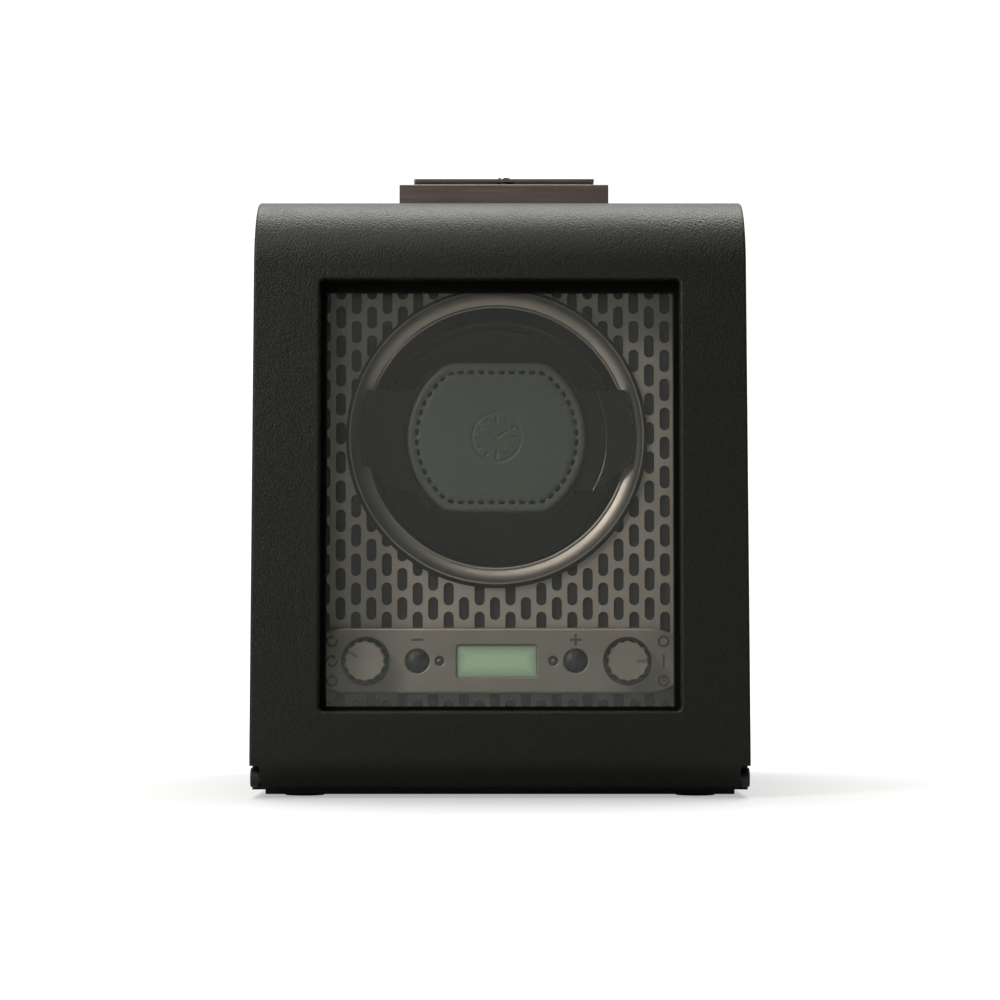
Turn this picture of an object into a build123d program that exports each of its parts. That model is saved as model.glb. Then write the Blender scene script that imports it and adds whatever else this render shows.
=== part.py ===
from build123d import *
import os
from math import cos, radians, sin

# Watch winder box: a leather-wrapped case with a rolled, windowed front cover hinged along its
# bottom edge, a perforated front plate, a belt-driven drum that holds a watch cuff, and a control
# fascia with two selector knobs, two buttons and a display.
#
# Millimetres. +Z is up and the front faces -Y. The origin is the centre of the footprint, on the
# surface that the feet rest on. Depths are counted backwards from the cover's front face.

# ---- driving dimensions: case and cover ----
CASE_W = 170.0
LEAN = 0.9
LEAN_Z = 20.0
CASE_D = 200.0
ROOF_Z = 206.8
FRONT = -CASE_D / 2
FOOT_H = 0.8
BASE_TOP = 2.6
BASE_HALF_W = 80.8
WALL = 6.0
COVER_T = 12.0
COVER_ROLL = 24.3
COVER_BOTTOM = 2.9
COVER_BOTTOM_ROLL = 11.0
COVER_REAR = 32.5
CASE_FRONT = 12.7
CASE_STEP = 33.0
CASE_REAR_ROLL = 8.0
HINGE_DEPTH = 6.5
HINGE_Z = 7.0

# ---- window ----
WINDOW_HALF_W = 61.4
WINDOW_LOW = 29.8
WINDOW_HIGH = 177.1
PANE_HALF_W = 59.7
PANE_LOW = 31.15
PANE_HIGH = 173.4
FRAME_FACE = 6.0

# ---- winder module: it sits slightly left of the cover's centre line ----
MODULE_X = -1.2
DRUM_Z = 125.2
PLATE_FACE = 32.0
PLATE_T = 1.2
PLATE_HOLE_R = 53.2
SLOT_W = 3.59
SLOT_L = 8.1
COLUMN_PITCH = 5.437
ROW_PITCH = 10.29
SLOT_ROW_Z = 64.9
SLOT_SHIFT_X = -0.55
BEZEL_R = 51.8
BEZEL_FACE = 29.0
LIP_R = 46.4
LIP_FACE = 33.0
CUP_R = 48.9
CUP_WALL = 2.0
CUP_MOUTH = 34.4
CUP_FLOOR = 86.0
SHAFT_R = 4.0
PULLEY_FACE = 104.0
DRUM_PULLEY_R = 28.0
MOTOR_PULLEY_R = 7.0
MOTOR_Z = 50.0
RUNNING = 0.05

# ---- watch cuff ----
PAD_R = 31.6
PAD_FLAT = 26.4
PAD_FACE = 31.5
CUFF_FACE = 34.7
EAR_R = 48.1
EAR_FACE = 29.5

# ---- control fascia ----
CONTROL_Z = 46.5
FASCIA_H = 23.3
FASCIA_HALF_W = 66.0
FASCIA_FLAT_HALF_W = 52.5
FASCIA_CORNER_R = 17.0
FASCIA_FACE = 25.0
KNOB_X = 45.6
KNOB_R = 7.05
KNOB_HOLE_R = 8.2
KNOB_FACE = 17.0
BUTTON_X = 27.6
BUTTON_R = 3.85
LAMP_X = 19.87
LAMP_R = 1.6
LENS_R = 1.15
DISPLAY_W = 27.9
DISPLAY_H = 11.2
MARK_Z = 7.4
MARK_W = 0.8
MARK_R = 1.7
MARK_DEPTH = 0.35
MARK_LEFT_X = -57.4
MARK_RIGHT_X = 58.3
MARK_PITCH = 6.9
POINTER_IN = 2.8
POINTER_OUT = 6.2
POINTER_W = 1.1
POINTER_DEPTH = 0.5

# ---- latch ----
LATCH_X = 1.4
LATCH_HALF_W = 37.1
LATCH_FRONT = 34.0
LATCH_BACK = 48.0
LATCH_TOP = 215.5
PRESS_HALF_W = 32.0
PRESS_GAP = 1.0
PLUNGER_DEPTH = 40.5
LATCH_SCREW_DEPTH = 45.5
LATCH_SCREW_X = 26.0

os.makedirs("parts", exist_ok=True)


def front(depth, x=0.0, z=0.0):
    """Plane seen from the front: local x is +X, local y is +Z, and its normal points to -Y."""
    return Plane(origin=(x, FRONT + depth, z), x_dir=(1, 0, 0), z_dir=(0, -1, 0))


def spin_plane(x, z):
    """Plane through an axis along Y: local x is the radius and local y is the frame's Y."""
    return Plane(origin=(x, 0, z), x_dir=(1, 0, 0), z_dir=(0, 0, 1))


def disc(start, end, x, z, radius, mode=Mode.ADD):
    """Cylinder along Y between two depths."""
    with Locations((x, FRONT + (start + end) / 2, z)):
        Cylinder(radius, abs(end - start), rotation=(90, 0, 0), mode=mode)


def block(x0, x1, start, end, z0, z1, mode=Mode.ADD):
    """Box between two X values, two depths and two heights."""
    with Locations(((x0 + x1) / 2, FRONT + (start + end) / 2, (z0 + z1) / 2)):
        Box(abs(x1 - x0), abs(end - start), abs(z1 - z0), mode=mode)


def save(piece, name):
    piece.part.label = name
    export_step(piece.part, f"parts/{name}.step")


# ======== case ========

with BuildPart() as case_shell:
    with BuildSketch(Plane.YZ):
        with BuildLine():
            Polyline(
                (FRONT + COVER_ROLL, ROOF_Z - COVER_T - 0.6),
                (FRONT + CASE_STEP, ROOF_Z - COVER_T - 0.6),
                (FRONT + CASE_STEP, ROOF_Z),
                (-FRONT - CASE_REAR_ROLL, ROOF_Z),
            )
            RadiusArc(
                (-FRONT - CASE_REAR_ROLL, ROOF_Z),
                (-FRONT, ROOF_Z - CASE_REAR_ROLL),
                CASE_REAR_ROLL,
            )
            Polyline(
                (-FRONT, ROOF_Z - CASE_REAR_ROLL),
                (-FRONT, BASE_TOP),
                (FRONT + CASE_FRONT, BASE_TOP),
                (FRONT + CASE_FRONT, ROOF_Z - COVER_ROLL),
            )
            RadiusArc(
                (FRONT + CASE_FRONT, ROOF_Z - COVER_ROLL),
                (FRONT + COVER_ROLL, ROOF_Z - COVER_T - 0.6),
                COVER_ROLL - CASE_FRONT,
            )
        make_face()
    extrude(amount=CASE_W / 2, both=True)
    for side_x in (-1, 1):
        # The sides lean in a little towards the roof.
        with BuildSketch(front(-1)) as lean:
            with BuildLine():
                Polyline(
                    (side_x * CASE_W / 2, LEAN_Z),
                    (side_x * (CASE_W / 2 - LEAN), ROOF_Z + 1),
                    (side_x * (CASE_W / 2 + 1), ROOF_Z + 1),
                    (side_x * (CASE_W / 2 + 1), LEAN_Z),
                    (side_x * CASE_W / 2, LEAN_Z),
                )
            make_face()
        extrude(lean.sketch, amount=-CASE_D - 2, mode=Mode.SUBTRACT)
    # Cavity, with a lower ceiling under the rebate that the cover's roof closes over.
    cavity_half = CASE_W / 2 - WALL
    block(-cavity_half, cavity_half, 0, CASE_D - WALL, BASE_TOP + WALL, 188, Mode.SUBTRACT)
    block(-cavity_half, cavity_half, 42, CASE_D - WALL, 180, ROOF_Z - WALL, Mode.SUBTRACT)
    # Service opening in the back, with a rebate that the rear panel lies in.
    block(-54, 54, CASE_D - WALL - 1, CASE_D + 1, 26, 134, Mode.SUBTRACT)
    block(-60, 60, CASE_D - 2.5, CASE_D + 1, 20, 140, Mode.SUBTRACT)
    for screw_x in (-57, 57):
        for screw_z in (23, 137):
            disc(CASE_D - 5.5, CASE_D, screw_x, screw_z, 1.5, Mode.SUBTRACT)
    # Pocket for the keeper tongue, and the bore that the latch plunger runs in.
    block(LATCH_X - 9, LATCH_X + 9, CASE_STEP - 1, 44.5, 194.5, 203, Mode.SUBTRACT)
    with Locations((LATCH_X, FRONT + PLUNGER_DEPTH, ROOF_Z)):
        Cylinder(2.5 + RUNNING, 12, mode=Mode.SUBTRACT)
    for screw_x in (-LATCH_SCREW_X, LATCH_SCREW_X):
        with Locations((LATCH_X + screw_x, FRONT + LATCH_SCREW_DEPTH, ROOF_Z)):
            Cylinder(1.5, 14, mode=Mode.SUBTRACT)
    # Screw holes for the hinge brackets in the front edge of the case floor.
    for side_x in (-1, 1):
        disc(CASE_FRONT, 22, side_x * 83, 7.0, 1.0, Mode.SUBTRACT)
    outer_edges = case_shell.edges().filter_by(GeomType.LINE).filter_by(Axis.Y)
    roof_edges = outer_edges.filter_by(lambda e: e.center().Z > ROOF_Z - 0.1)
    fillet(roof_edges.filter_by(lambda e: abs(e.center().X) > CASE_W / 2 - 2 * LEAN), radius=1.2)
save(case_shell, "case_shell")

with BuildPart() as base_plate:
    block(-BASE_HALF_W, BASE_HALF_W, 17, CASE_D - 5, FOOT_H, BASE_TOP)
    with Locations(*[(x, y, FOOT_H) for x in (-68, 68) for y in (-72, 84)]):
        Cylinder(7, 1.2, mode=Mode.SUBTRACT)
save(base_plate, "base_plate")

with BuildPart() as feet:
    with Locations(*[(x, y, 0) for x in (-68, 68) for y in (-72, 84)]):
        Cylinder(7, 1.4, align=(Align.CENTER, Align.CENTER, Align.MIN))
    chamfer(feet.faces().filter_by(Plane.XY).group_by(Axis.Z)[0].edges(), length=0.3)
save(feet, "feet")

with BuildPart() as rear_panel:
    block(-59.7, 59.7, CASE_D - 2.5, CASE_D, 20.3, 139.7)
    fillet(rear_panel.edges().filter_by(Axis.Y), radius=1.5)
    for screw_x in (-57, 57):
        for screw_z in (23, 137):
            disc(CASE_D - 3, CASE_D + 1, screw_x, screw_z, 1.5, Mode.SUBTRACT)
            disc(CASE_D - 1.2, CASE_D + 1, screw_x, screw_z, 2.8, Mode.SUBTRACT)
    disc(CASE_D - 3, CASE_D + 1, 0, 32, 4.5, Mode.SUBTRACT)
save(rear_panel, "rear_panel")

with BuildPart() as rear_panel_screws:
    for screw_x in (-57, 57):
        for screw_z in (23, 137):
            disc(CASE_D - 5.5, CASE_D - 1.2, screw_x, screw_z, 1.5)
            disc(CASE_D - 1.2, CASE_D - 0.1, screw_x, screw_z, 2.8)
            with Locations((screw_x, CASE_D / 2 - 0.35, screw_z)):
                Box(3.6, 0.7, 0.8, mode=Mode.SUBTRACT)
                Box(0.8, 0.7, 3.6, mode=Mode.SUBTRACT)
save(rear_panel_screws, "rear_panel_screws")

with BuildPart() as dc_jack:
    disc(CASE_D - 14, CASE_D - 0.2, 0, 32, 4.5)
    block(-5.5, 5.5, CASE_D - 14, CASE_D - 2.5, 27, 37)
    disc(CASE_D - 10, CASE_D, 0, 32, 2.8, Mode.SUBTRACT)
    disc(CASE_D - 11, CASE_D - 1.5, 0, 32, 1.0)
save(dc_jack, "dc_jack")

with BuildPart() as cavity_liner:
    block(-78.9, 78.9, 14.4, PLATE_FACE - 0.1, 8.7, 187.9)
    block(-77.5, 77.5, 14, PLATE_FACE, 10.1, 186.5, Mode.SUBTRACT)
save(cavity_liner, "cavity_liner")

BATTEN_IN = 70.8
BATTEN_FACE = 36.2
PLATE_SCREWS = [(x, z) for x in (-74.6, 74.6) for z in (13.2, 183.4)]
TRAY_SCREWS = [(x, z) for x in (-73.6, 73.6) for z in (60, 140)]

with BuildPart() as battens:
    for side_x in (-1, 1):
        block(side_x * BATTEN_IN, side_x * 79, BATTEN_FACE, BATTEN_FACE + 12, 8.6, 188)
    for x, z in PLATE_SCREWS + TRAY_SCREWS:
        disc(BATTEN_FACE - 1, BATTEN_FACE + 8, x, z, 1.5, Mode.SUBTRACT)
save(battens, "battens")

# ======== front plate ========

slot_places = []
for column in range(-13, 14):
    shift = 0 if column % 2 == 0 else ROW_PITCH / 2
    slot_x = MODULE_X + SLOT_SHIFT_X + column * COLUMN_PITCH
    for row in range(-5, 12):
        slot_z = SLOT_ROW_Z + shift + row * ROW_PITCH
        reach = ((slot_x - MODULE_X) ** 2 + (slot_z - DRUM_Z) ** 2) ** 0.5
        behind_fascia = abs(slot_z - CONTROL_Z) < 10
        if reach > PLATE_HOLE_R - 1.5 and not behind_fascia and 16 < slot_z < 180:
            slot_places.append((slot_x, slot_z))

with BuildPart() as front_plate:
    with BuildSketch(front(PLATE_FACE)):
        with Locations((0, 98.3)):
            Rectangle(154.4, 175.6)
        with Locations(*slot_places):
            SlotOverall(SLOT_L, SLOT_W, rotation=90, mode=Mode.SUBTRACT)
        with Locations((MODULE_X, DRUM_Z)):
            Circle(PLATE_HOLE_R, mode=Mode.SUBTRACT)
        with Locations((MODULE_X, 47.0)):
            Rectangle(116, 16.8, mode=Mode.SUBTRACT)
        with Locations(*PLATE_SCREWS):
            Circle(1.5, mode=Mode.SUBTRACT)
        with Locations(*[(MODULE_X + x, CONTROL_Z) for x in (-60.5, 60.5)]):
            Circle(1.5, mode=Mode.SUBTRACT)
    extrude(amount=-PLATE_T)
save(front_plate, "front_plate")

with BuildPart() as plate_backing:
    backing_face = PLATE_FACE + PLATE_T
    block(-77.2, 77.2, backing_face, backing_face + 0.8, 10.5, 186.1)
    disc(backing_face - 1, backing_face + 2, MODULE_X, DRUM_Z, PLATE_HOLE_R + 0.8, Mode.SUBTRACT)
    block(MODULE_X - 58, MODULE_X + 58, backing_face - 1, backing_face + 2, 38.6, 55.4, Mode.SUBTRACT)
    for x, z in PLATE_SCREWS + [(MODULE_X - 60.5, CONTROL_Z), (MODULE_X + 60.5, CONTROL_Z)]:
        disc(backing_face - 1, backing_face + 2, x, z, 1.5, Mode.SUBTRACT)
save(plate_backing, "plate_backing")

with BuildPart() as plate_screws:
    for x, z in PLATE_SCREWS:
        disc(PLATE_FACE, BATTEN_FACE + 8, x, z, 1.5)
        disc(PLATE_FACE - 1.6, PLATE_FACE, x, z, 2.3)
    chamfer(plate_screws.faces().filter_by(Plane.XZ).group_by(Axis.Y)[0].edges(), length=0.4)
save(plate_screws, "plate_screws")

# ======== module tray: the moulding that carries the drum bearing, the motor and the belt ========

TRAY_FLANGE = 34.0
TRAY_WALL = 95.0
TRAY_BACK = 98.0
BUSH_BACK = PULLEY_FACE - 0.4

with BuildPart() as module_tray:
    block(-70, 70, TRAY_FLANGE, TRAY_BACK, 14, 182)
    block(-77, 77, TRAY_FLANGE, BATTEN_FACE, 11, 186)
    block(-67.5, 67.5, TRAY_FLANGE - 1, TRAY_WALL, 16.5, 179.5, Mode.SUBTRACT)
    disc(90, BUSH_BACK, MODULE_X, DRUM_Z, 9)
    disc(89, BUSH_BACK + 1, MODULE_X, DRUM_Z, 6, Mode.SUBTRACT)
    disc(TRAY_WALL - 1, TRAY_BACK + 1, MODULE_X, MOTOR_Z, 4, Mode.SUBTRACT)
    for x in (-8.5, 8.5):
        disc(TRAY_WALL - 1, TRAY_BACK + 1, MODULE_X + x, MOTOR_Z, 1.25, Mode.SUBTRACT)
    for x, z in PLATE_SCREWS + TRAY_SCREWS:
        disc(TRAY_FLANGE - 1, TRAY_FLANGE + 3, x, z, 1.5, Mode.SUBTRACT)
save(module_tray, "module_tray")

with BuildPart() as tray_screws:
    for x, z in TRAY_SCREWS:
        disc(TRAY_FLANGE, BATTEN_FACE + 8, x, z, 1.5)
save(tray_screws, "tray_screws")

with BuildPart() as bearing_bush:
    disc(90, BUSH_BACK, MODULE_X, DRUM_Z, 6)
    disc(89, 90, MODULE_X, DRUM_Z, 8)
    disc(88, BUSH_BACK + 1, MODULE_X, DRUM_Z, SHAFT_R + RUNNING, Mode.SUBTRACT)
save(bearing_bush, "bearing_bush")

# ======== drive: gear motor, two pulleys and a flat belt ========

BELT_W = 5.0
PULLEY_BACK = PULLEY_FACE + BELT_W + 2.6
motor_axis = Axis((MODULE_X, 0, MOTOR_Z), (0, 1, 0))
drum_axis = Axis((MODULE_X, 0, DRUM_Z), (0, 1, 0))

with BuildPart() as gear_motor:
    disc(47, 50, MODULE_X, MOTOR_Z, 4)
    disc(50, 78, MODULE_X, MOTOR_Z, 12)
    disc(78, TRAY_WALL, MODULE_X, MOTOR_Z, 12.5)
    disc(TRAY_WALL, TRAY_BACK - 0.4, MODULE_X, MOTOR_Z, 3.9)
    disc(89, TRAY_BACK, MODULE_X, MOTOR_Z, 1.5 + RUNNING, Mode.SUBTRACT)
    for x in (-8.5, 8.5):
        disc(88, 95.5, MODULE_X + x, MOTOR_Z, 1.25, Mode.SUBTRACT)
save(gear_motor, "gear_motor")

with BuildPart() as motor_screws:
    for x in (-8.5, 8.5):
        disc(88, TRAY_BACK, MODULE_X + x, MOTOR_Z, 1.25)
        disc(TRAY_BACK, TRAY_BACK + 1.5, MODULE_X + x, MOTOR_Z, 2.2)
save(motor_screws, "motor_screws")

with BuildPart() as motor_pulley:
    disc(90, PULLEY_BACK, MODULE_X, MOTOR_Z, 1.5)
    disc(PULLEY_FACE, PULLEY_BACK, MODULE_X, MOTOR_Z, MOTOR_PULLEY_R)
    disc(PULLEY_FACE, PULLEY_FACE + 1, MODULE_X, MOTOR_Z, MOTOR_PULLEY_R + 2.2)
    disc(PULLEY_BACK - 1, PULLEY_BACK, MODULE_X, MOTOR_Z, MOTOR_PULLEY_R + 2.2)
save(motor_pulley, "motor_pulley")

with BuildPart() as drum_pulley:
    disc(PULLEY_FACE, PULLEY_BACK, MODULE_X, DRUM_Z, DRUM_PULLEY_R)
    disc(PULLEY_FACE, PULLEY_FACE + 1, MODULE_X, DRUM_Z, DRUM_PULLEY_R + 2.2)
    disc(PULLEY_BACK - 1, PULLEY_BACK, MODULE_X, DRUM_Z, DRUM_PULLEY_R + 2.2)
    disc(PULLEY_FACE - 1, PULLEY_BACK + 1, MODULE_X, DRUM_Z, SHAFT_R, Mode.SUBTRACT)
    for step in range(6):
        spoke_x = MODULE_X + 16 * cos(radians(60 * step))
        spoke_z = DRUM_Z + 16 * sin(radians(60 * step))
        disc(PULLEY_FACE - 1, PULLEY_BACK + 1, spoke_x, spoke_z, 5, Mode.SUBTRACT)
save(drum_pulley, "drum_pulley")

with BuildPart() as drive_belt:
    with BuildSketch(front(PULLEY_FACE + 1.3)):
        with Locations((MODULE_X, DRUM_Z)):
            Circle(DRUM_PULLEY_R + RUNNING + 1.2)
        with Locations((MODULE_X, MOTOR_Z)):
            Circle(MOTOR_PULLEY_R + RUNNING + 1.2)
        make_hull()
    extrude(amount=-BELT_W)
    with BuildSketch(front(PULLEY_FACE + 1.3)):
        with Locations((MODULE_X, DRUM_Z)):
            Circle(DRUM_PULLEY_R + RUNNING)
        with Locations((MODULE_X, MOTOR_Z)):
            Circle(MOTOR_PULLEY_R + RUNNING)
        make_hull()
    extrude(amount=-BELT_W, mode=Mode.SUBTRACT)
save(drive_belt, "drive_belt")

# ======== drum ========

with BuildPart() as drum_cup:
    with BuildSketch(spin_plane(MODULE_X, DRUM_Z)):
        with BuildLine():
            Polyline(
                (0, FRONT + CUP_FLOOR),
                (CUP_R - CUP_WALL - 3, FRONT + CUP_FLOOR),
            )
            RadiusArc(
                (CUP_R - CUP_WALL - 3, FRONT + CUP_FLOOR),
                (CUP_R - CUP_WALL, FRONT + CUP_FLOOR - 3),
                -3,
            )
            Polyline(
                (CUP_R - CUP_WALL, FRONT + CUP_FLOOR - 3),
                (CUP_R - CUP_WALL, FRONT + CUP_MOUTH),
                (CUP_R, FRONT + CUP_MOUTH),
                (CUP_R, FRONT + CUP_FLOOR + 2.4),
                (0, FRONT + CUP_FLOOR + 2.4),
                (0, FRONT + CUP_FLOOR),
            )
        make_face()
    revolve(axis=drum_axis)
    disc(CUP_FLOOR - 6, CUP_FLOOR, MODULE_X, DRUM_Z, 9)
    disc(CUP_FLOOR - 7, CUP_FLOOR + 5, MODULE_X, DRUM_Z, SHAFT_R, Mode.SUBTRACT)
save(drum_cup, "drum_cup")

with BuildPart() as drum_bezel:
    with BuildSketch(spin_plane(MODULE_X, DRUM_Z)):
        with BuildLine():
            ThreePointArc(
                (LIP_R, FRONT + LIP_FACE),
                (49.5, FRONT + 31.45),
                (BEZEL_R - 0.5, FRONT + BEZEL_FACE),
            )
            Polyline(
                (BEZEL_R - 0.5, FRONT + BEZEL_FACE),
                (BEZEL_R, FRONT + BEZEL_FACE),
                (BEZEL_R, FRONT + BEZEL_FACE + 1.8),
                (CUP_R, FRONT + CUP_MOUTH - 0.4),
                (CUP_R, FRONT + CUP_MOUTH),
                (LIP_R, FRONT + CUP_MOUTH),
                (LIP_R, FRONT + LIP_FACE),
            )
        make_face()
        with Locations((LIP_R, FRONT + LIP_FACE)):
            Circle(0.55)
    revolve(axis=drum_axis)
save(drum_bezel, "drum_bezel")

with BuildPart() as drum_shaft:
    disc(CUP_FLOOR - 6, PULLEY_BACK + 5, MODULE_X, DRUM_Z, SHAFT_R)
    disc(PULLEY_BACK + 1.2, PULLEY_BACK + 2.2, MODULE_X, DRUM_Z, SHAFT_R + 1, Mode.SUBTRACT)
    disc(PULLEY_BACK + 1, PULLEY_BACK + 2.4, MODULE_X, DRUM_Z, SHAFT_R - 0.6)
save(drum_shaft, "drum_shaft")

with BuildPart() as shaft_clip:
    disc(PULLEY_BACK + 1.25, PULLEY_BACK + 2.15, MODULE_X, DRUM_Z, SHAFT_R + 2)
    disc(PULLEY_BACK + 1, PULLEY_BACK + 3, MODULE_X, DRUM_Z, SHAFT_R - 0.6, Mode.SUBTRACT)
    block(MODULE_X - 1.5, MODULE_X + 1.5, 100, 120, DRUM_Z, DRUM_Z + 8, Mode.SUBTRACT)
save(shaft_clip, "shaft_clip")

with BuildPart() as cuff_clips:
    for side_x in (-1, 1):
        leaf_x = MODULE_X + side_x * 40.0
        foot_x = MODULE_X + side_x * (CUP_R - CUP_WALL - 0.28)
        block(leaf_x, leaf_x + side_x * 0.6, 44, 70, DRUM_Z - 5, DRUM_Z + 5)
        block(leaf_x, foot_x, 69, 70, DRUM_Z - 5, DRUM_Z + 5)
save(cuff_clips, "cuff_clips")

# ======== watch cuff ========

CUFF_R = 33.5
CUFF_HALF_H = 24.0
CUFF_BACK = 52.0
EAR_TOP = 16.5
EAR_LOW_OUT = -9.5
EAR_LOW_IN = -18.7
EAR_IN_R = 38.4
SIDE_WALL_R = 39.4
SIDE_WALL_FACE = 30.4

with BuildPart() as cuff_frame:
    with BuildSketch(front(CUFF_FACE, MODULE_X, DRUM_Z)):
        Circle(CUFF_R)
        Rectangle(2 * CUFF_R + 2, 2 * CUFF_HALF_H, mode=Mode.INTERSECT)
    extrude(amount=CUFF_FACE - CUFF_BACK)
    # Side walls that rise from the block to the ears.
    with BuildSketch(front(SIDE_WALL_FACE, MODULE_X, DRUM_Z)):
        Circle(SIDE_WALL_R)
        Circle(CUFF_R - 0.6, mode=Mode.SUBTRACT)
        with Locations((0, (EAR_TOP + EAR_LOW_IN) / 2)):
            Rectangle(100, EAR_TOP - EAR_LOW_IN, mode=Mode.INTERSECT)
    extrude(amount=SIDE_WALL_FACE - CUFF_BACK)
    # Ears: thin wings that rest over the bezel's lip on both sides.
    with BuildSketch(front(EAR_FACE, MODULE_X, DRUM_Z)):
        Circle(EAR_R)
        Circle(EAR_IN_R, mode=Mode.SUBTRACT)
        with BuildLine():
            Polyline(
                (-60, EAR_TOP),
                (60, EAR_TOP),
                (60, -2.5),
                (EAR_R - 1, EAR_LOW_OUT),
                (EAR_IN_R - 3.6, EAR_LOW_IN),
                (3.6 - EAR_IN_R, EAR_LOW_IN),
                (1 - EAR_R, EAR_LOW_OUT),
                (-60, -2.5),
                (-60, EAR_TOP),
            )
        make_face(mode=Mode.INTERSECT)
    extrude(amount=-1.8)
    ear_arcs = cuff_frame.faces().group_by(Axis.Y)[0].edges().filter_by(GeomType.CIRCLE)
    fillet(ear_arcs, radius=0.6)
    # Blind bores in the back for the two springs.
    for x in (-15, 15):
        disc(CUFF_FACE + 3, CUFF_BACK + 1, MODULE_X + x, DRUM_Z, 4.2, Mode.SUBTRACT)
save(cuff_frame, "cuff_frame")

with BuildPart() as cuff_pad:
    with BuildSketch(front(PAD_FACE, MODULE_X, DRUM_Z)):
        Circle(PAD_R)
        Rectangle(2 * PAD_R + 2, 2 * PAD_FLAT, mode=Mode.INTERSECT)
    extrude(amount=PAD_FACE - CUFF_FACE)
    fillet(cuff_pad.faces().sort_by(Axis.Y)[0].edges(), radius=1.2)
save(cuff_pad, "cuff_pad")

CUFF_REAR_FACE = 58.5
CUFF_REAR_BACK = 72.0

with BuildPart() as cuff_rear:
    with BuildSketch(front(CUFF_REAR_FACE, MODULE_X, DRUM_Z)):
        Circle(CUFF_R)
        Rectangle(2 * CUFF_R + 2, 2 * CUFF_HALF_H, mode=Mode.INTERSECT)
    extrude(amount=CUFF_REAR_FACE - CUFF_REAR_BACK)
    fillet(cuff_rear.faces().sort_by(Axis.Y)[-1].edges(), radius=3)
    for x in (-15, 15):
        disc(44, CUFF_REAR_FACE, MODULE_X + x, DRUM_Z, 2.0)
save(cuff_rear, "cuff_rear")

with BuildPart() as cuff_springs:
    spring_start = FRONT + CUFF_FACE + 3.5
    with BuildLine() as coil:
        Helix(2.6, 19.2, 3.1, center=(MODULE_X - 15, spring_start, DRUM_Z), direction=(0, 1, 0))
    with BuildSketch(Plane(origin=coil.line @ 0, z_dir=coil.line % 0)):
        Circle(0.4)
    sweep(is_frenet=True)
    mirror(about=Plane.YZ.offset(MODULE_X))
save(cuff_springs, "cuff_springs")

# ======== control fascia ========

# Height of each turning mark, the angle of a gap in its ring, and the way its arrow turns.
ARROWS = [
    (MARK_PITCH, 60, -1),
    (0, 40, -1),
    (0, 220, -1),
    (-MARK_PITCH, 120, 1),
]
BOARD_SCREWS = [(x, z) for x in (-54.5, 54.5) for z in (-6, 6)]

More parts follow.
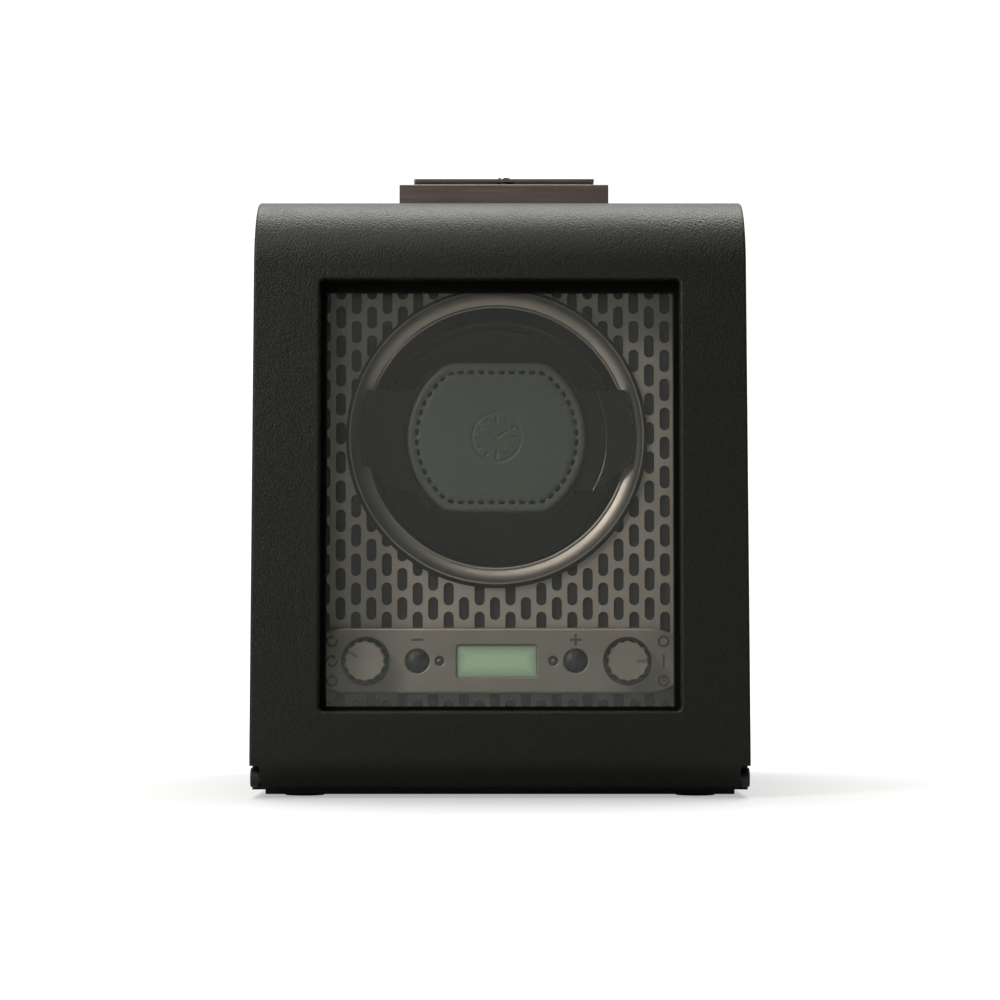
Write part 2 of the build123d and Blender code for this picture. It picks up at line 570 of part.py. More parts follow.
with BuildPart() as control_fascia:
    with BuildSketch(front(FASCIA_FACE, MODULE_X, CONTROL_Z)):
        with BuildLine():
            drop = FASCIA_HALF_W - FASCIA_FLAT_HALF_W
            end_z = FASCIA_H / 2 - FASCIA_CORNER_R + (FASCIA_CORNER_R**2 - drop**2) ** 0.5
            Line((0, FASCIA_H / 2), (FASCIA_FLAT_HALF_W, FASCIA_H / 2))
            TangentArc((FASCIA_FLAT_HALF_W, FASCIA_H / 2), (FASCIA_HALF_W, end_z), tangent=(1, 0))
            Line((FASCIA_HALF_W, end_z), (FASCIA_HALF_W, 0))
            mirror(about=Plane.XZ)
            mirror(about=Plane.YZ)
        make_face()
    extrude(amount=FASCIA_FACE - PLATE_FACE)
    fillet(control_fascia.faces().sort_by(Axis.Y)[0].edges(), radius=1.2)
    # Hollow back, leaving a 1.5 mm face and solid ends.
    block(MODULE_X - 57, MODULE_X + 57, 26.5, PLATE_FACE + 1, CONTROL_Z - 10, CONTROL_Z + 10, Mode.SUBTRACT)
    for x, z in BOARD_SCREWS:
        disc(26, 30, MODULE_X + x, CONTROL_Z + z, 1.6)
        disc(26.6, 31, MODULE_X + x, CONTROL_Z + z, 1.0, Mode.SUBTRACT)
    for x in (-60.5, 60.5):
        disc(PLATE_FACE - 0.5, 39, MODULE_X + x, CONTROL_Z, 1.5)
    for x in (-KNOB_X, KNOB_X):
        disc(20, 27, MODULE_X + x, CONTROL_Z, KNOB_HOLE_R, Mode.SUBTRACT)
    for x in (-BUTTON_X, BUTTON_X):
        disc(20, 27, MODULE_X + x, CONTROL_Z, BUTTON_R + 0.35, Mode.SUBTRACT)
    for x in (-LAMP_X, LAMP_X):
        disc(20, 27, MODULE_X + x, CONTROL_Z, LAMP_R, Mode.SUBTRACT)
    with BuildSketch(front(FASCIA_FACE, MODULE_X, CONTROL_Z)):
        RectangleRounded(DISPLAY_W, DISPLAY_H, 0.8)
    extrude(amount=-2, mode=Mode.SUBTRACT)
    face_edges = control_fascia.edges().filter_by(lambda e: abs(e.center().Y - FRONT - FASCIA_FACE) < 0.01)
    rounds = face_edges.filter_by(GeomType.CIRCLE).filter_by(lambda e: e.radius < 9)
    display_edges = face_edges.filter_by(GeomType.LINE).filter_by(lambda e: abs(e.center().Z - CONTROL_Z) < 7)
    fillet(rounds + display_edges.filter_by(lambda e: abs(e.center().X - MODULE_X) < 15), radius=0.5)
    # Engraved marks: minus and plus, three turning directions on the left, off, on and timer on the right.
    with BuildSketch(front(FASCIA_FACE, MODULE_X, CONTROL_Z)):
        with Locations((-BUTTON_X, MARK_Z), (BUTTON_X, MARK_Z)):
            Rectangle(4.2, MARK_W)
        with Locations((BUTTON_X, MARK_Z)):
            Rectangle(MARK_W, 4.2)
        with Locations((MARK_LEFT_X, MARK_PITCH), (MARK_LEFT_X, 0), (MARK_LEFT_X, -MARK_PITCH)):
            Circle(MARK_R + MARK_W / 2)
            Circle(MARK_R - MARK_W / 2, mode=Mode.SUBTRACT)
        for mark_z, gap, way in ARROWS:
            foot = radians(gap - 34 * way)
            tip = radians(gap + 8 * way)
            with Locations((MARK_LEFT_X, mark_z)):
                Polygon(
                    (0, 0),
                    (4 * cos(radians(gap - 32)), 4 * sin(radians(gap - 32))),
                    (4 * cos(radians(gap + 32)), 4 * sin(radians(gap + 32))),
                    align=None,
                    mode=Mode.SUBTRACT,
                )
                Polygon(
                    ((MARK_R - 0.85) * cos(foot), (MARK_R - 0.85) * sin(foot)),
                    ((MARK_R + 0.85) * cos(foot), (MARK_R + 0.85) * sin(foot)),
                    (MARK_R * cos(tip), MARK_R * sin(tip)),
                    align=None,
                )
        with Locations((MARK_RIGHT_X, MARK_PITCH), (MARK_RIGHT_X, -MARK_PITCH)):
            Circle(MARK_R + MARK_W / 2)
            Circle(MARK_R - MARK_W / 2, mode=Mode.SUBTRACT)
        with Locations((MARK_RIGHT_X, 0)):
            Rectangle(MARK_W, 2 * MARK_R + MARK_W)
        with Locations((MARK_RIGHT_X, -MARK_PITCH + 0.55)):
            Rectangle(0.5, 1.4)
        with Locations((MARK_RIGHT_X + 0.35, -MARK_PITCH)):
            Rectangle(1.0, 0.5)
    extrude(amount=-MARK_DEPTH, mode=Mode.SUBTRACT)
save(control_fascia, "control_fascia")

with BuildPart() as fascia_nuts:
    for x in (-60.5, 60.5):
        with BuildSketch(front(PLATE_FACE + PLATE_T + 0.8, MODULE_X + x, CONTROL_Z)) as nut:
            RegularPolygon(2.9, 6)
            Circle(1.5, mode=Mode.SUBTRACT)
        extrude(nut.sketch, amount=-2.4)
save(fascia_nuts, "fascia_nuts")

with BuildPart() as lcd_module:
    block(MODULE_X - 16.5, MODULE_X + 16.5, 26.6, 29.9, CONTROL_Z - 8, CONTROL_Z + 8)
    with BuildSketch(front(26, MODULE_X, CONTROL_Z)):
        RectangleRounded(DISPLAY_W - 0.4, DISPLAY_H - 0.4, 0.6)
    extrude(amount=-0.7)
save(lcd_module, "lcd_module")

with BuildPart() as indicator_leds:
    for x in (-LAMP_X, LAMP_X):
        disc(26.0, 29.9, MODULE_X + x, CONTROL_Z, LENS_R)
        with Locations((MODULE_X + x, FRONT + 26.0, CONTROL_Z)):
            Sphere(LENS_R)
        disc(28.6, 29.9, MODULE_X + x, CONTROL_Z, LAMP_R + 0.3)
save(indicator_leds, "indicator_leds")

with BuildPart() as control_board:
    block(MODULE_X - 56, MODULE_X + 56, 30, 31.6, CONTROL_Z - 9, CONTROL_Z + 9)
    for x, z in BOARD_SCREWS:
        disc(29, 33, MODULE_X + x, CONTROL_Z + z, 1.0, Mode.SUBTRACT)
save(control_board, "control_board")

with BuildPart() as board_screws:
    for x, z in BOARD_SCREWS:
        disc(26.6, 31.6, MODULE_X + x, CONTROL_Z + z, 1.0)
        disc(31.6, 32.8, MODULE_X + x, CONTROL_Z + z, 1.8)
save(board_screws, "board_screws")

with BuildPart() as tact_switches:
    for x in (-BUTTON_X, BUTTON_X):
        block(MODULE_X + x - 3, MODULE_X + x + 3, 28.6, 30, CONTROL_Z - 3, CONTROL_Z + 3)
save(tact_switches, "tact_switches")

with BuildPart() as rotary_switches:
    for x in (-KNOB_X, KNOB_X):
        block(MODULE_X + x - 5.5, MODULE_X + x + 5.5, 27.6, 30, CONTROL_Z - 5.5, CONTROL_Z + 5.5)
        disc(25.5, 27.6, MODULE_X + x, CONTROL_Z, 3.0)
        disc(24, 31, MODULE_X + x, CONTROL_Z, 2.0 + RUNNING, Mode.SUBTRACT)
save(rotary_switches, "rotary_switches")

for knob_x, pointer, name, spindle_name in (
    (-KNOB_X, 150, "direction_knob", "direction_spindle"),
    (KNOB_X, 0, "mode_knob", "mode_spindle"),
):
    with BuildPart() as knob:
        with BuildSketch(front(KNOB_FACE, MODULE_X + knob_x, CONTROL_Z)):
            Circle(KNOB_R)
            with PolarLocations(KNOB_R + 1.9, 14):
                Circle(2.3, mode=Mode.SUBTRACT)
        extrude(amount=KNOB_FACE - 24.6)
        chamfer(knob.faces().sort_by(Axis.Y)[0].edges(), length=0.35)
        with BuildSketch(front(KNOB_FACE, MODULE_X + knob_x, CONTROL_Z)):
            with PolarLocations((POINTER_IN + POINTER_OUT) / 2, 1, start_angle=pointer):
                Rectangle(POINTER_OUT - POINTER_IN, POINTER_W)
        extrude(amount=-POINTER_DEPTH, mode=Mode.SUBTRACT)
        disc(24.2, 25.2, MODULE_X + knob_x, CONTROL_Z, KNOB_HOLE_R - 0.9)
        disc(23, 26, MODULE_X + knob_x, CONTROL_Z, 3.4, Mode.SUBTRACT)
        disc(19, 24, MODULE_X + knob_x, CONTROL_Z, 2.0, Mode.SUBTRACT)
    save(knob, name)

    with BuildPart() as spindle:
        disc(19, 29.8, MODULE_X + knob_x, CONTROL_Z, 2.0)
    save(spindle, spindle_name)

for button_x, name in ((-BUTTON_X, "minus_button"), (BUTTON_X, "plus_button")):
    with BuildPart() as button:
        disc(24.9, 27.4, MODULE_X + button_x, CONTROL_Z, BUTTON_R)
        with BuildSketch(spin_plane(MODULE_X + button_x, CONTROL_Z)):
            with BuildLine():
                Line((0, FRONT + 24.9), (0, FRONT + 23.6))
                ThreePointArc((0, FRONT + 23.6), (2.1, FRONT + 23.95), (BUTTON_R, FRONT + 24.9))
                Line((BUTTON_R, FRONT + 24.9), (0, FRONT + 24.9))
            make_face()
        revolve(axis=Axis((MODULE_X + button_x, 0, CONTROL_Z), (0, 1, 0)))
    save(button, name)

# ======== cover: it turns forward and down about the pins at its bottom corners ========

PIN_IN = 74.0
NOTCH_X = 81.6
BARREL_R = 3.2
PIN_R = 1.5

with BuildPart() as cover_shell:
    with BuildSketch(Plane.YZ):
        with BuildLine():
            RadiusArc(
                (FRONT, ROOF_Z - COVER_ROLL),
                (FRONT + COVER_ROLL, ROOF_Z),
                COVER_ROLL,
            )
            Polyline(
                (FRONT + COVER_ROLL, ROOF_Z),
                (FRONT + COVER_REAR, ROOF_Z),
                (FRONT + COVER_REAR, ROOF_Z - COVER_T),
                (FRONT + COVER_ROLL, ROOF_Z - COVER_T),
            )
            RadiusArc(
                (FRONT + COVER_ROLL, ROOF_Z - COVER_T),
                (FRONT + COVER_T, ROOF_Z - COVER_ROLL),
                COVER_T - COVER_ROLL,
            )
            Line((FRONT + COVER_T, ROOF_Z - COVER_ROLL), (FRONT + COVER_T, 8))
            ThreePointArc(
                (FRONT + COVER_T, 8),
                (FRONT + 11.1, 4.6),
                (FRONT + 9, COVER_BOTTOM + 0.185),
            )
            RadiusArc(
                (FRONT + 9, COVER_BOTTOM + 0.185),
                (FRONT, COVER_BOTTOM + COVER_BOTTOM_ROLL),
                COVER_BOTTOM_ROLL,
            )
            Line((FRONT, COVER_BOTTOM + COVER_BOTTOM_ROLL), (FRONT, ROOF_Z - COVER_ROLL))
        make_face()
    extrude(amount=CASE_W / 2, both=True)
    for side_x in (-1, 1):
        # The sides lean in a little towards the roof.
        with BuildSketch(front(-1)) as lean:
            with BuildLine():
                Polyline(
                    (side_x * CASE_W / 2, LEAN_Z),
                    (side_x * (CASE_W / 2 - LEAN), ROOF_Z + 1),
                    (side_x * (CASE_W / 2 + 1), ROOF_Z + 1),
                    (side_x * (CASE_W / 2 + 1), LEAN_Z),
                    (side_x * CASE_W / 2, LEAN_Z),
                )
            make_face()
        extrude(lean.sketch, amount=-CASE_D - 2, mode=Mode.SUBTRACT)
    side_edges = cover_shell.edges().filter_by(lambda e: abs(e.center().X) > CASE_W / 2 - 2 * LEAN)
    outer_rim = side_edges.filter_by(lambda e: e.center().Y < FRONT + 8 or e.center().Z > ROOF_Z - 0.1)
    fillet(outer_rim, radius=0.9)
    with BuildSketch(front(-1)):
        with Locations((0, (WINDOW_LOW + WINDOW_HIGH) / 2)):
            RectangleRounded(2 * WINDOW_HALF_W, WINDOW_HIGH - WINDOW_LOW, 1.5)
    extrude(amount=-COVER_T - 2, mode=Mode.SUBTRACT)
    window_rim = cover_shell.edges().filter_by(
        lambda e: abs(e.center().Y - FRONT) < 0.01 and abs(e.center().X) < WINDOW_HALF_W + 1
        and WINDOW_LOW - 1 < e.center().Z < WINDOW_HIGH + 1
    )
    fillet(window_rim, radius=1.1)
    for side_x in (-1, 1):
        # Corner notch that clears the hinge bracket, and the seat of the hinge bush.
        with BuildSketch(front(-1)) as notch:
            with BuildLine():
                Polyline(
                    (side_x * NOTCH_X, 0),
                    (side_x * NOTCH_X, 10.4),
                    (side_x * (NOTCH_X + 0.8), 11.2),
                    (side_x * 87, 11.2),
                    (side_x * 87, 0),
                    (side_x * NOTCH_X, 0),
                )
            make_face()
        extrude(notch.sketch, amount=-COVER_T - 3, mode=Mode.SUBTRACT)
        with Locations((side_x * (PIN_IN + 10), FRONT + HINGE_DEPTH, HINGE_Z)):
            Cylinder(2.5, 20, rotation=(0, 90, 0), mode=Mode.SUBTRACT)
    # Seat of the keeper tongue and its screw holes in the underside of the cover's roof.
    block(LATCH_X - 8, LATCH_X + 8, 24, COVER_REAR + 1, 199.5, 201, Mode.SUBTRACT)
    for x in (-5, 5):
        with Locations((LATCH_X + x, FRONT + 28, 199.9)):
            Cylinder(1.0, 10.2, mode=Mode.SUBTRACT)
save(cover_shell, "cover_shell")

with BuildPart() as window_frame:
    with BuildSketch(front(FRAME_FACE)):
        with Locations((0, (WINDOW_LOW + WINDOW_HIGH) / 2)):
            RectangleRounded(2 * WINDOW_HALF_W, WINDOW_HIGH - WINDOW_LOW, 1.5)
    extrude(amount=FRAME_FACE - COVER_T + 0.4)
    block(-PANE_HALF_W, PANE_HALF_W, 0, 20, PANE_LOW, PANE_HIGH, Mode.SUBTRACT)
    block(-60.8, 60.8, 8, 20, 30.3, 175.2, Mode.SUBTRACT)
save(window_frame, "window_frame")

for name, inner, start, end in (
    ("glass_gasket", 0.1, 8.0, 8.3),
    ("glass_retainer", 0.1, 10.3, 11.6),
):
    with BuildPart() as frame_strip:
        block(-60.8, 60.8, start, end, 30.3, 175.2)
        inner_half = PANE_HALF_W - inner
        block(-inner_half, inner_half, 0, 20, PANE_LOW - inner, PANE_HIGH + inner, Mode.SUBTRACT)
    save(frame_strip, name)

with BuildPart() as glass_pane:
    block(-60.6, 60.6, 8.3, 10.3, 30.5, 175.0)
save(glass_pane, "glass_pane")

with BuildPart() as hinge_bushes:
    for side_x in (-1, 1):
        with Locations((side_x * (PIN_IN + NOTCH_X) / 2, FRONT + HINGE_DEPTH, HINGE_Z)):
            Cylinder(2.5, NOTCH_X - PIN_IN, rotation=(0, 90, 0))
            Cylinder(PIN_R + RUNNING, NOTCH_X - PIN_IN + 2, rotation=(0, 90, 0), mode=Mode.SUBTRACT)
save(hinge_bushes, "hinge_bushes")

with BuildPart() as keeper_tongue:
    block(LATCH_X - 8, LATCH_X + 8, 24, 37.2, 199.5, 201)
    block(LATCH_X - 3.5, LATCH_X + 3.5, 34.2, 36.2, 199, 202, Mode.SUBTRACT)
    for x in (-5, 5):
        with Locations((LATCH_X + x, FRONT + 28, 200)):
            Cylinder(1.0, 10, mode=Mode.SUBTRACT)
save(keeper_tongue, "keeper_tongue")

with BuildPart() as keeper_screws:
    for x in (-5, 5):
        with Locations((LATCH_X + x, FRONT + 28, 199.9)):
            Cylinder(1.0, 10.2)
save(keeper_screws, "keeper_screws")

with BuildPart() as cover_bumpers:
    for x in (-82, 82):
        disc(COVER_T, COVER_T + 0.6, x, 176, 2.2)
save(cover_bumpers, "cover_bumpers")

# ======== hinge brackets and pins ========

with BuildPart() as hinge_brackets:
    for side_x in (-1, 1):
        inner = side_x * (NOTCH_X + 0.35)
        outer = side_x * (CASE_W / 2 - 0.1)
        with Locations(((inner + outer) / 2, FRONT + HINGE_DEPTH, HINGE_Z)):
            Cylinder(BARREL_R, abs(outer - inner), rotation=(0, 90, 0))
        block(inner, outer, HINGE_DEPTH, CASE_FRONT, HINGE_Z - BARREL_R, HINGE_Z + BARREL_R)
        with Locations((side_x * (PIN_IN + 5), FRONT + HINGE_DEPTH, HINGE_Z)):
            Cylinder(PIN_R, 30, rotation=(0, 90, 0), mode=Mode.SUBTRACT)
        disc(10.2, 14, side_x * 83, HINGE_Z, 1.0, Mode.SUBTRACT)
save(hinge_brackets, "hinge_brackets")

with BuildPart() as hinge_pins:
    for side_x in (-1, 1):
        pin_start = PIN_IN + 0.4
        pin_end = CASE_W / 2 - 0.3
        with Locations((side_x * (pin_start + pin_end) / 2, FRONT + HINGE_DEPTH, HINGE_Z)):
            Cylinder(PIN_R, pin_end - pin_start, rotation=(0, 90, 0))
save(hinge_pins, "hinge_pins")

with BuildPart() as bracket_screws:
    for side_x in (-1, 1):
        disc(10.2, 22, side_x * 83, HINGE_Z, 1.0)
save(bracket_screws, "bracket_screws")

# ======== latch: pressing the top plate lowers the plunger and frees the keeper tongue ========

with BuildPart() as latch_block:
    block(LATCH_X - LATCH_HALF_W, LATCH_X + LATCH_HALF_W, LATCH_FRONT, LATCH_BACK, ROOF_Z, LATCH_TOP)
    top_edges = latch_block.faces().sort_by(Axis.Z)[-1].edges()
    fillet(top_edges, radius=0.5)
    with Locations((LATCH_X, FRONT + PLUNGER_DEPTH, LATCH_TOP)):
        Cylinder(2.5 + RUNNING, 24, mode=Mode.SUBTRACT)
        Cylinder(4.6, 12, mode=Mode.SUBTRACT)
    for screw_x in (-LATCH_SCREW_X, LATCH_SCREW_X):
        with Locations((LATCH_X + screw_x, FRONT + LATCH_SCREW_DEPTH, ROOF_Z)):
            Cylinder(1.5, 8, mode=Mode.SUBTRACT)
save(latch_block, "latch_block")

with BuildPart() as release_spring:
    with BuildLine() as coil:
        Helix(1.5, 6.0, 3.5, center=(LATCH_X, FRONT + PLUNGER_DEPTH, LATCH_TOP - 5.6))
    with BuildSketch(Plane(origin=coil.line @ 0, z_dir=coil.line % 0)):
        Circle(0.35)
    sweep(is_frenet=True)
save(release_spring, "release_spring")

with BuildPart() as release_plate:
    plate_low = LATCH_TOP + PRESS_GAP
    plate_x0 = LATCH_X - PRESS_HALF_W
    plate_x1 = LATCH_X + PRESS_HALF_W
    block(plate_x0, plate_x1, LATCH_FRONT + 1, LATCH_BACK - 2, plate_low, plate_low + 1.05)
    fillet(release_plate.edges().filter_by(Axis.Z), radius=0.6)
    with Locations((LATCH_X, FRONT + PLUNGER_DEPTH, plate_low)):
        Cylinder(1.2, 4, mode=Mode.SUBTRACT)
save(release_plate, "release_plate")

with BuildPart() as release_plunger:
    with Locations((LATCH_X, FRONT + PLUNGER_DEPTH, 195.6)):
        Cylinder(2.5, plate_low - 195.6, align=(Align.CENTER, Align.CENTER, Align.MIN))
    # Nose that catches the keeper tongue's window from below.
    block(LATCH_X - 2.4, LATCH_X + 2.4, 34.6, PLUNGER_DEPTH, 196.6, 198.3)
    with Locations((LATCH_X, FRONT + PLUNGER_DEPTH, plate_low - 5)):
        Cylinder(1.2, 6, align=(Align.CENTER, Align.CENTER, Align.MIN), mode=Mode.SUBTRACT)
save(release_plunger, "release_plunger")

with BuildPart() as release_screw:
    with Locations((LATCH_X, FRONT + PLUNGER_DEPTH, plate_low - 5)):
        Cylinder(1.2, 6.05, align=(Align.CENTER, Align.CENTER, Align.MIN))
    with Locations((LATCH_X, FRONT + PLUNGER_DEPTH, plate_low + 1.05)):
        Cylinder(2.35, 1.5, align=(Align.CENTER, Align.CENTER, Align.MIN))
    fillet(release_screw.faces().sort_by(Axis.Z)[-1].edges(), radius=0.8)
save(release_screw, "release_screw")

with BuildPart() as latch_screws:
    for screw_x in (-LATCH_SCREW_X, LATCH_SCREW_X):
        with Locations((LATCH_X + screw_x, FRONT + LATCH_SCREW_DEPTH, ROOF_Z - WALL)):
            Cylinder(1.5, WALL + 4, align=(Align.CENTER, Align.CENTER, Align.MIN))
            Cylinder(2.8, 1.5, align=(Align.CENTER, Align.CENTER, Align.MAX))
save(latch_screws, "latch_screws")
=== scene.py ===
"""Looks for the watch winder box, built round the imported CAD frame.

Everything is in metres, in the row frame: +Z up, the window faces -Y. The CAD nodes keep their
shapes and get procedural materials; the cuff's leather pad is a simulated, stitched piece.
"""

import math

import bmesh
import bpy
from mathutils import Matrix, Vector


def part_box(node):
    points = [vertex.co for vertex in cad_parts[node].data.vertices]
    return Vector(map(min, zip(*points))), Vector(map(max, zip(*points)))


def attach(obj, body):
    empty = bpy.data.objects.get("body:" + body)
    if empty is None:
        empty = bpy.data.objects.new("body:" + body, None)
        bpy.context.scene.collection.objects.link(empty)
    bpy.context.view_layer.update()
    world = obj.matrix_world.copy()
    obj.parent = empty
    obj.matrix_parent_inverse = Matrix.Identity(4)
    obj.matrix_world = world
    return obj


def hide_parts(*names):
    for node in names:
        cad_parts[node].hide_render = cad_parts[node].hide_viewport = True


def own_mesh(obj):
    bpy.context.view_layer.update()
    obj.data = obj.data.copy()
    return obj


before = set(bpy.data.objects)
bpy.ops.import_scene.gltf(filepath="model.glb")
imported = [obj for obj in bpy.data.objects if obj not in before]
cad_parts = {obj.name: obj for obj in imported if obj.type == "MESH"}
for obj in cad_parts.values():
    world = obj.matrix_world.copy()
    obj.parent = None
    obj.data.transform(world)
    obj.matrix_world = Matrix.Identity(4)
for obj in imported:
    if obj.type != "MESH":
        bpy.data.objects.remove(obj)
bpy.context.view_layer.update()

MM = 0.001

# ---- camera: level with the lower window and tilted slightly up, at an assumed distance ----
CAMERA_BACK = 1.0118
CAMERA_HEIGHT = 0.0528
CAMERA_TILT = math.radians(3.05)
CAMERA_LENS = 96.6

scene = bpy.context.scene
scene.view_settings.view_transform = "Standard"
camera_data = bpy.data.cameras.new("camera")
camera_data.lens = CAMERA_LENS
camera_data.sensor_width = 36
camera = bpy.data.objects.new("camera", camera_data)
camera.location = (0, -CAMERA_BACK, CAMERA_HEIGHT)
camera.rotation_euler = (math.pi / 2 + CAMERA_TILT, 0, 0)
scene.collection.objects.link(camera)
scene.camera = camera


# ---- node helpers ----
def node(tree, kind, inputs=None, **settings):
    """A shader node with its settings and the values of its unlinked inputs."""
    n = tree.nodes.new(kind)
    for key, value in settings.items():
        setattr(n, key, value)
    for key, value in (inputs or {}).items():
        if isinstance(value, bpy.types.NodeSocket):
            tree.links.new(value, n.inputs[key])
        else:
            n.inputs[key].default_value = value
    return n


def math_node(tree, operation, *values):
    """The result of a sum on the values, each a number or another node's output."""
    inputs = dict(enumerate(values))
    return node(tree, "ShaderNodeMath", inputs, operation=operation).outputs[0]


def material(name, color, roughness, **sockets):
    """A new material. Extra sockets are set on the Principled shader itself."""
    made = bpy.data.materials.new(name)
    made.use_nodes = True
    shader = made.node_tree.nodes["Principled BSDF"]
    shader.inputs["Base Color"].default_value = (*color, 1)
    shader.inputs["Roughness"].default_value = roughness
    for key, value in sockets.items():
        shader.inputs[key.replace("_", " ")].default_value = value
    return made, made.node_tree, shader


def own_coordinates(tree, stretch=None):
    """The piece's own coordinates in metres, scaled along each axis if stretch is given."""
    place = node(tree, "ShaderNodeTexCoord").outputs["Object"]
    if stretch is None:
        return place
    return node(tree, "ShaderNodeMapping", {"Vector": place, "Scale": stretch}).outputs[0]


def noise(tree, scale, detail=3.0, place=None, rough=0.55):
    place = place or own_coordinates(tree)
    values = {"Vector": place, "Scale": scale, "Detail": detail, "Roughness": rough}
    return node(tree, "ShaderNodeTexNoise", values).outputs["Fac"]


def spread(tree, value, low, high, start=0.3, end=0.7):
    """value, from start to end, spread over low to high."""
    limits = {"Value": value, "From Min": start, "From Max": end, "To Min": low, "To Max": high}
    return node(tree, "ShaderNodeMapRange", limits).outputs[0]


def shades(tree, shader, value, dark, light, start=0.3, end=0.7):
    """Base colour that runs from dark to light with value."""
    ramp = node(tree, "ShaderNodeValToRGB", {"Fac": value})
    ramp.color_ramp.elements[0].position = start
    ramp.color_ramp.elements[1].position = end
    ramp.color_ramp.elements[0].color = (*dark, 1)
    ramp.color_ramp.elements[1].color = (*light, 1)
    tree.links.new(ramp.outputs["Color"], shader.inputs["Base Color"])


def bumps(tree, shader, layers):
    """Surface relief from (height, strength, depth in metres) layers, coarse to fine."""
    normal = None
    for height, strength, depth in layers:
        values = {"Height": height, "Strength": strength, "Distance": depth}
        if normal is not None:
            values["Normal"] = normal
        normal = node(tree, "ShaderNodeBump", values).outputs["Normal"]
    tree.links.new(normal, shader.inputs["Normal"])


def tint(color, share):
    return tuple(c * share for c in color)


# ---- materials ----
def leather(name, color, pebble, roughness, relief, shine):
    """Grained leather: rounded pebbles parted by fine creases, over soft unevenness, with painted
    shade in the creases.
    """
    made, tree, shader = material(name, color, roughness, Specular_IOR_Level=shine)
    place = own_coordinates(tree)
    wander = node(
        tree, "ShaderNodeTexNoise", {"Vector": place, "Scale": 0.35 / pebble, "Detail": 2.0}
    )
    shifted = node(
        tree, "ShaderNodeVectorMath",
        {0: wander.outputs["Color"], 1: (pebble, pebble, pebble)}, operation="MULTIPLY",
    )
    warped = node(tree, "ShaderNodeVectorMath", {0: place, 1: shifted.outputs[0]}, operation="ADD")
    cells = node(
        tree, "ShaderNodeTexVoronoi",
        {"Vector": warped.outputs[0], "Scale": 1 / pebble, "Smoothness": 0.6, "Randomness": 1.0},
        feature="SMOOTH_F1",
    ).outputs["Distance"]
    pores = noise(tree, 4.0 / pebble, 2.0)
    swell = noise(tree, 28.0, 2.0)
    # Painted shade: the colour is lighter on the pebbles and darker in the creases between them.
    shades(tree, shader, cells, tint(color, 1.18), tint(color, 0.66), 0.15, 0.75)
    tree.links.new(
        spread(tree, noise(tree, 90.0, 4.0), roughness - 0.02, roughness + 0.03),
        shader.inputs["Roughness"],
    )
    hollow = math_node(tree, "SUBTRACT", 1.0, cells)
    bumps(tree, shader, [
        (swell, 0.1, 1.2 * MM),
        (hollow, relief, 0.22 * pebble),
        (pores, 0.25 * relief, 0.06 * pebble),
    ])
    return made


def satin_metal(name, color, roughness, metallic=1.0, brush=None, speck=0.10):
    """Fine blasted or brushed metal. brush stretches the grain along an axis."""
    made, tree, shader = material(name, color, roughness, Metallic=metallic)
    place = own_coordinates(tree, brush) if brush else own_coordinates(tree)
    grain = noise(tree, 3200.0 if brush is None else 1.0, 3.0, place)
    cloud = noise(tree, 55.0, 3.0)
    shades(tree, shader, cloud, tint(color, 0.92), tint(color, 1.06))
    gloss = spread(tree, grain, roughness - 0.05, roughness + 0.08)
    tree.links.new(gloss, shader.inputs["Roughness"])
    bumps(tree, shader, [(cloud, 0.05, 0.2 * MM), (grain, speck, 0.03 * MM)])
    return made


def paint_groove_shade(made, shown_y, floor_y, share):
    """Paints shade on the flat floors that lie between two planes across Y, darkening them to a
    share of their tone.
    """
    tree = made.node_tree
    shader = tree.nodes["Principled BSDF"]
    base = shader.inputs["Base Color"].links[0].from_socket
    place = node(tree, "ShaderNodeSeparateXYZ", {0: own_coordinates(tree)}).outputs["Y"]
    facing = node(
        tree, "ShaderNodeSeparateXYZ", {0: node(tree, "ShaderNodeTexCoord").outputs["Normal"]}
    ).outputs["Y"]
    beyond = math_node(tree, "GREATER_THAN", place, shown_y)
    before = math_node(tree, "LESS_THAN", place, floor_y)
    flat = math_node(tree, "LESS_THAN", facing, -0.99)
    cut = math_node(tree, "MULTIPLY", math_node(tree, "MULTIPLY", beyond, before), flat)
    tone = math_node(tree, "MULTIPLY_ADD", cut, share - 1, 1.0)
    darker = node(tree, "ShaderNodeVectorMath", {0: base, 1: tone}, operation="MULTIPLY").outputs[0]
    tree.links.new(darker, shader.inputs["Base Color"])
    return made


def turned_metal(name, color, roughness, centre_x, centre_z):
    """Metal with fine concentric lathe lines round an axis along Y."""
    made, tree, shader = material(name, color, roughness, Metallic=1.0)
    split = node(tree, "ShaderNodeSeparateXYZ", {0: own_coordinates(tree)})
    across = math_node(tree, "SUBTRACT", split.outputs["X"], centre_x)
    up = math_node(tree, "SUBTRACT", split.outputs["Z"], centre_z)
    flat = node(tree, "ShaderNodeCombineXYZ", {"X": across, "Y": up}).outputs[0]
    radius = node(
        tree, "ShaderNodeVectorMath", {0: flat}, operation="LENGTH"
    ).outputs["Value"]
    line = node(tree, "ShaderNodeCombineXYZ", {"X": radius, "Y": split.outputs["Y"]}).outputs[0]
    rings = noise(tree, 5200.0, 2.0, line)
    cloud = noise(tree, 70.0, 3.0)
    shades(tree, shader, cloud, tint(color, 0.92), tint(color, 1.06))
    gloss = spread(tree, rings, roughness - 0.06, roughness + 0.06)
    tree.links.new(gloss, shader.inputs["Roughness"])
    bumps(tree, shader, [(rings, 0.14, 0.03 * MM)])
    return made


